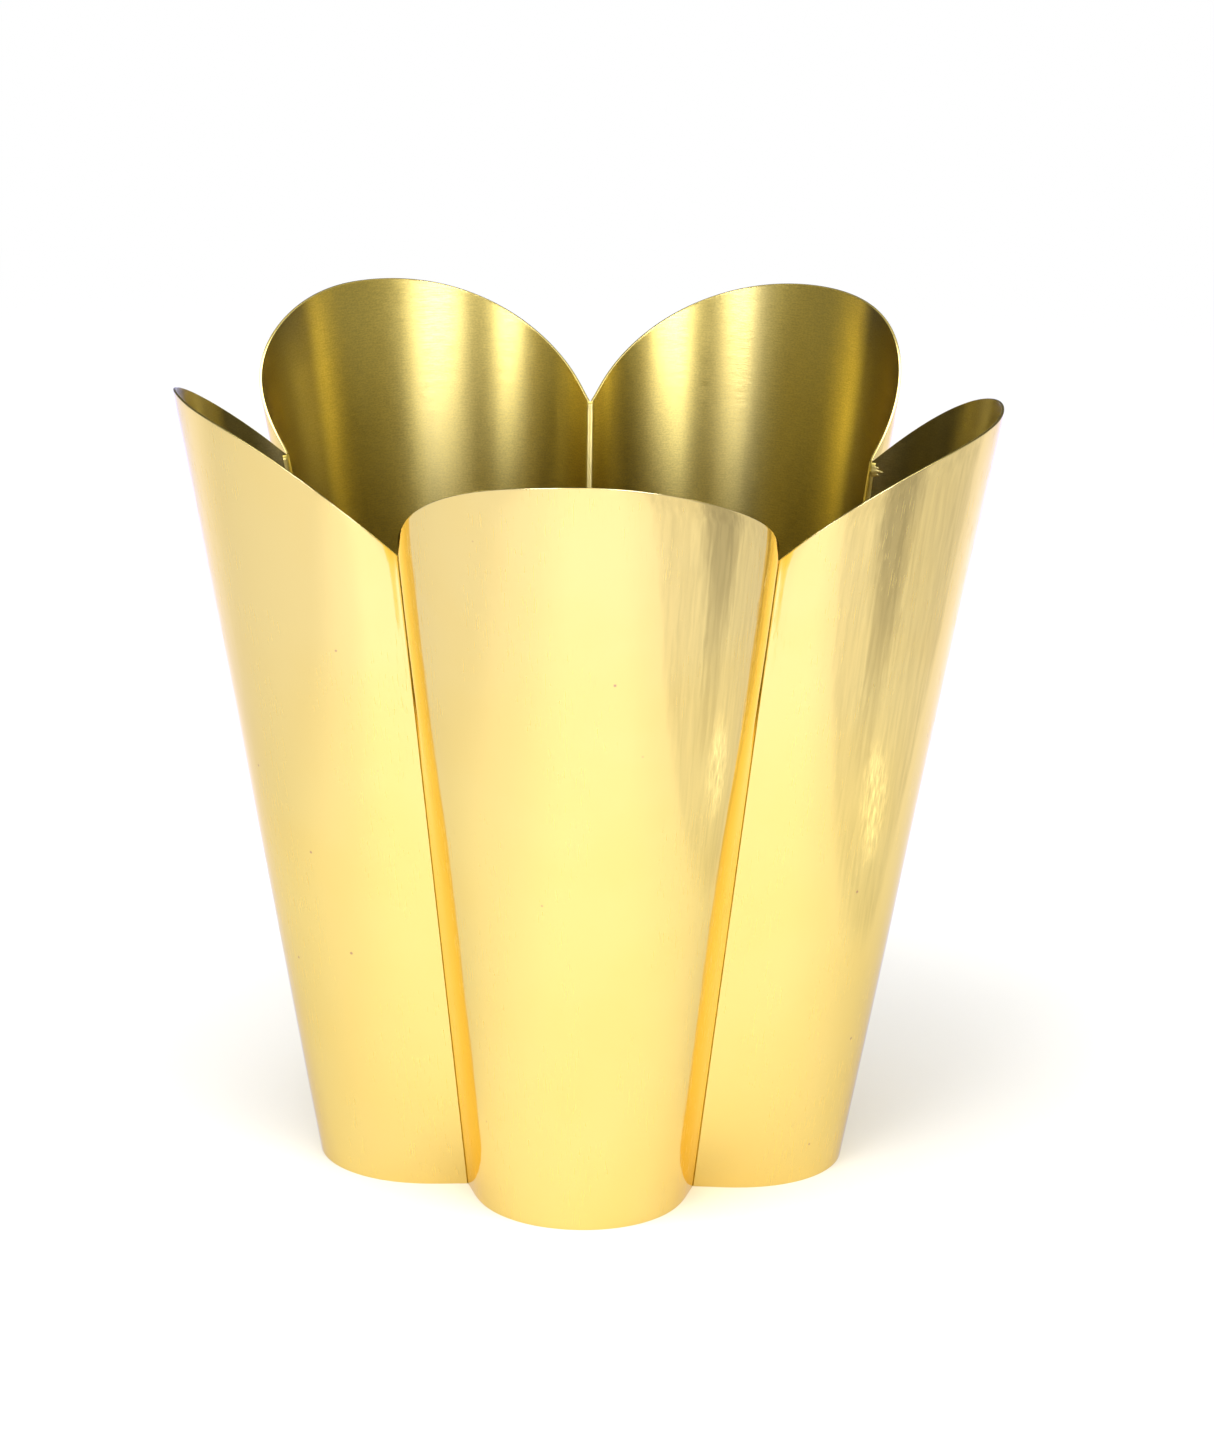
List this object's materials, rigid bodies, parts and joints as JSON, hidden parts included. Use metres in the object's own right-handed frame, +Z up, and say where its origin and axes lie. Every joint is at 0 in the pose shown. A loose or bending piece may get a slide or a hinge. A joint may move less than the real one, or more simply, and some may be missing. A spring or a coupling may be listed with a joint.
{
  "type": "planter pot",
  "caption": "Flared open planter pot of flower-like section, built from rounded sheet-brass petals with arched rims, soldered edge to edge around a base plate.",
  "frame": {"origin": "centre of the plane on which the petals' foot edges stand, on the pot's five-fold axis", "axes": "+Z up along the pot's axis; -Y towards the middle of petal_front; +X towards petal_right's side"},
  "size_m": [0.2638, 0.2575, 0.26],
  "materials": {
    "petal_brass": "polished and lacquered outside, satin brushed along the rim inside",
    "base_brass": "satin brushed",
    "solder": "dull, pale brazing alloy, filed"
  },
  "bodies": {
    "root": {"petal_front": "petal_brass", "petal_right": "petal_brass", "petal_back_right": "petal_brass", "petal_back_left": "petal_brass", "petal_left": "petal_brass", "base_plate": "base_brass", "base_solder_bead": "solder", "solder_seam_front_right": "solder", "solder_seam_right": "solder", "solder_seam_back": "solder", "solder_seam_left": "solder", "solder_seam_front_left": "solder"}
  },
  "joints": []
}
